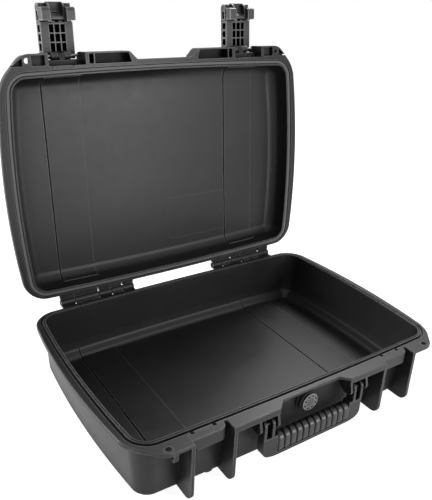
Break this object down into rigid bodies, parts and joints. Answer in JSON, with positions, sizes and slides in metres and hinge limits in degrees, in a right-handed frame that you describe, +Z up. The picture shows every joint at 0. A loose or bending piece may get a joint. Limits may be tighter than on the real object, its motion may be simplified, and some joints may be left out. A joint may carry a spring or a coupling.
{
  "type": "laptop hard case",
  "caption": "Rigid moulded case for a laptop, shown open, with a sealed hinged lid, sprung draw-down latches, a folding carry handle and a pressure valve.",
  "frame": {"origin": "centre of the base shell's flat underside", "axes": "+X to the right as seen from the front, along the hinge line; +Y from the handle to the hinges; +Z up out of the open base"},
  "size_m": [0.5104, 0.447, 0.5071],
  "materials": {
    "shell": "fine moulded grain",
    "latch": "satin moulded",
    "lever": "satin moulded",
    "grip": "soft overmould",
    "rubber": "matt",
    "steel": "ground pin",
    "membrane": "matt film"
  },
  "bodies": {
    "base": {"base_shell": "shell", "hinge_pin_left": "steel", "hinge_pin_right": "steel", "handle_pin_left": "steel", "handle_pin_right": "steel", "valve_body": "shell", "valve_cap": "lever", "valve_membrane": "membrane", "valve_seal": "rubber", "valve_nut": "shell", "front_left_foot": "rubber", "front_right_foot": "rubber", "back_left_foot": "rubber", "back_right_foot": "rubber"},
    "lid": {"lid_shell": "shell", "lid_gasket": "rubber", "left_latch_pin": "steel", "right_latch_pin": "steel"},
    "left_latch": {"left_latch_body": "latch", "left_lever_pin": "steel", "left_lever_spring": "steel"},
    "right_latch": {"right_latch_body": "latch", "right_lever_pin": "steel", "right_lever_spring": "steel"},
    "left_lever": {"left_release_lever": "lever"},
    "right_lever": {"right_release_lever": "lever"},
    "handle": {"handle_frame": "shell", "handle_grip": "grip"}
  },
  "joints": [
    {"name": "lid_hinge", "type": "hinge", "parent": "base", "child": "lid", "pos_m": [0, 0.1757, 0.086], "axis": [1, 0, 0], "range_deg": [0, 95.9]},
    {"name": "left_latch_swing", "type": "hinge", "parent": "lid", "child": "left_latch", "pos_m": [-0.15125, 0.23703, 0.43525], "axis": [1, 0, 0], "range_deg": [0, 90]},
    {"name": "right_latch_swing", "type": "hinge", "parent": "lid", "child": "right_latch", "pos_m": [0.15125, 0.23703, 0.43525], "axis": [1, 0, 0], "range_deg": [0, 90]},
    {"name": "left_lever_press", "type": "hinge", "parent": "left_latch", "child": "left_lever", "pos_m": [-0.15125, 0.25033, 0.48615], "axis": [-1, 0, 0], "range_deg": [0, 10], "stiffness_Nm_per_rad": 0.06, "springref_deg": -11.46},
    {"name": "right_lever_press", "type": "hinge", "parent": "right_latch", "child": "right_lever", "pos_m": [0.15125, 0.25033, 0.48615], "axis": [-1, 0, 0], "range_deg": [0, 10], "stiffness_Nm_per_rad": 0.06, "springref_deg": -11.46},
    {"name": "handle_swing", "type": "hinge", "parent": "base", "child": "handle", "pos_m": [0, -0.177, 0.0631], "axis": [-1, 0, 0], "range_deg": [0, 95]}
  ]
}
